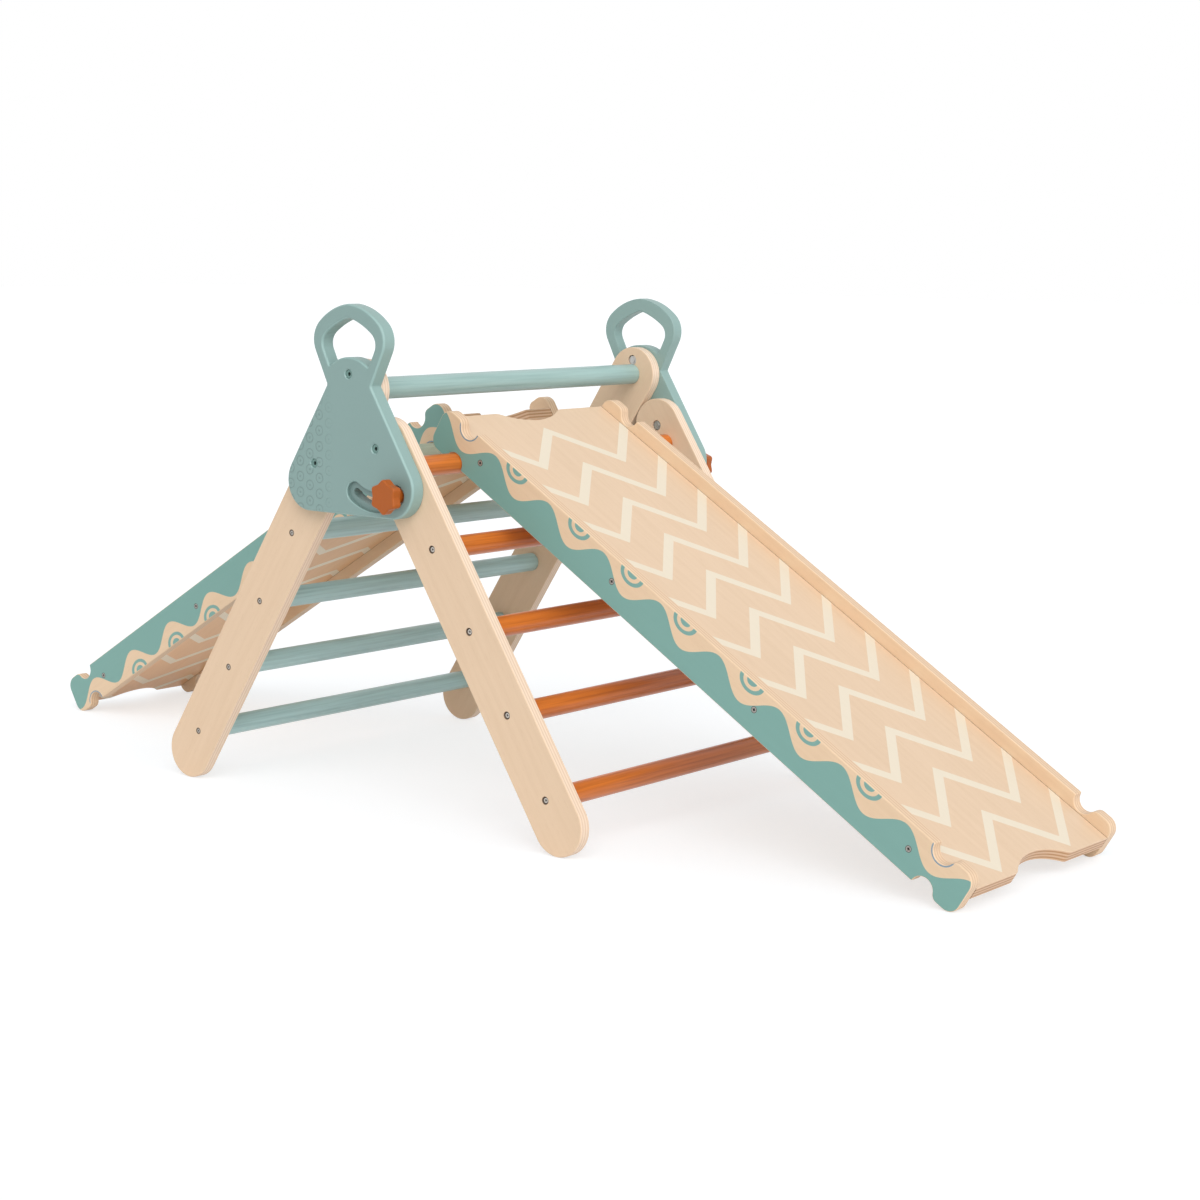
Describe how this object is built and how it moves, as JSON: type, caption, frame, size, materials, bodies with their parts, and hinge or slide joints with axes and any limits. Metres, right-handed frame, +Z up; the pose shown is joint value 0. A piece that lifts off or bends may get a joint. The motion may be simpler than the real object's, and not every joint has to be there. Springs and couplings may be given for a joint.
{
  "type": "climbing triangle with slide",
  "caption": "Folding wooden climbing triangle with round rungs, moulded handle brackets, a wide hook-on slide and a narrow hook-on ramp.",
  "frame": {"origin": "on the floor, under the middle of the frame's top bar", "axes": "+X runs out along the wide slide, +Y across the frame to its far side, +Z up"},
  "size_m": [1.8784, 0.73, 0.731],
  "materials": {
    "birch_plywood": "clear satin lacquer on birch plywood; rails' outer faces teal with a natural wavy band",
    "teal_beech": "satin grey-teal stain on beech",
    "pale_green_beech": "satin pale green stain on beech",
    "orange_beech": "satin orange stain on beech",
    "sage_plastic": "moulded matt plastic",
    "orange_plastic": "moulded plastic",
    "brass_insert": "plain",
    "painted_bolt": "teal coated steel",
    "zinc_steel": "zinc plated"
  },
  "bodies": {
    "rear_frame": {"rear_leg_near": "birch_plywood", "rear_leg_far": "birch_plywood", "rear_rung_1": "teal_beech", "rear_rung_2": "teal_beech", "rear_rung_3": "teal_beech", "rear_rung_4": "teal_beech", "rear_rung_5": "pale_green_beech", "top_bar": "teal_beech", "bracket_near": "sage_plastic", "bracket_far": "sage_plastic", "bracket_rung_bolt_near": "painted_bolt", "bracket_rung_bolt_far": "painted_bolt", "bracket_top_bolt_near": "painted_bolt", "bracket_top_bolt_far": "painted_bolt", "top_bolt_nut_near": "zinc_steel", "top_bolt_nut_far": "zinc_steel", "pivot_bolt_near": "painted_bolt", "pivot_bolt_far": "painted_bolt", "pivot_nut_near": "zinc_steel", "pivot_nut_far": "zinc_steel", "rear_rung_screws_near": "zinc_steel", "rear_rung_screws_far": "zinc_steel"},
    "front_ladder": {"front_leg_near": "birch_plywood", "front_leg_far": "birch_plywood", "front_rung_1": "orange_beech", "front_rung_2": "orange_beech", "front_rung_3": "orange_beech", "front_rung_4": "orange_beech", "front_rung_5": "orange_beech", "front_rung_screws_near": "zinc_steel", "front_rung_screws_far": "zinc_steel", "clamp_bolt_near": "zinc_steel", "clamp_bolt_far": "zinc_steel", "clamp_washer_near": "zinc_steel", "clamp_washer_far": "zinc_steel"},
    "knob_near": {"clamp_knob_near": "orange_plastic", "knob_insert_near": "brass_insert"},
    "knob_far": {"clamp_knob_far": "orange_plastic", "knob_insert_far": "brass_insert"},
    "slide": {"slide_rail_near": "birch_plywood", "slide_rail_far": "birch_plywood", "slide_board": "birch_plywood", "slide_screws_near": "zinc_steel", "slide_screws_far": "zinc_steel"},
    "ramp": {"ramp_rail_near": "birch_plywood", "ramp_rail_far": "birch_plywood", "ramp_board": "birch_plywood", "ramp_screws_near": "zinc_steel", "ramp_screws_far": "zinc_steel"}
  },
  "joints": [
    {"name": "front_ladder_fold", "type": "hinge", "parent": "rear_frame", "child": "front_ladder", "pos_m": [0.05157, 0, 0.53213], "axis": [0, 1, 0], "range_deg": [0, 66]},
    {"name": "knob_near_turn", "type": "hinge", "parent": "front_ladder", "child": "knob_near", "pos_m": [0.09242, -0.3575, 0.46923], "axis": [0, -1, 0], "range_deg": [0, 360]},
    {"name": "knob_far_turn", "type": "hinge", "parent": "front_ladder", "child": "knob_far", "pos_m": [0.09242, 0.3575, 0.46923], "axis": [0, 1, 0], "range_deg": [0, 360]},
    {"name": "slide_lift", "type": "slide", "parent": "rear_frame", "child": "slide", "axis": [0.5167, 0, 0.8562], "range_m": [0, 0.3]},
    {"name": "ramp_lift", "type": "slide", "parent": "rear_frame", "child": "ramp", "axis": [-0.5167, 0, 0.8562], "range_m": [0, 0.3]}
  ]
}
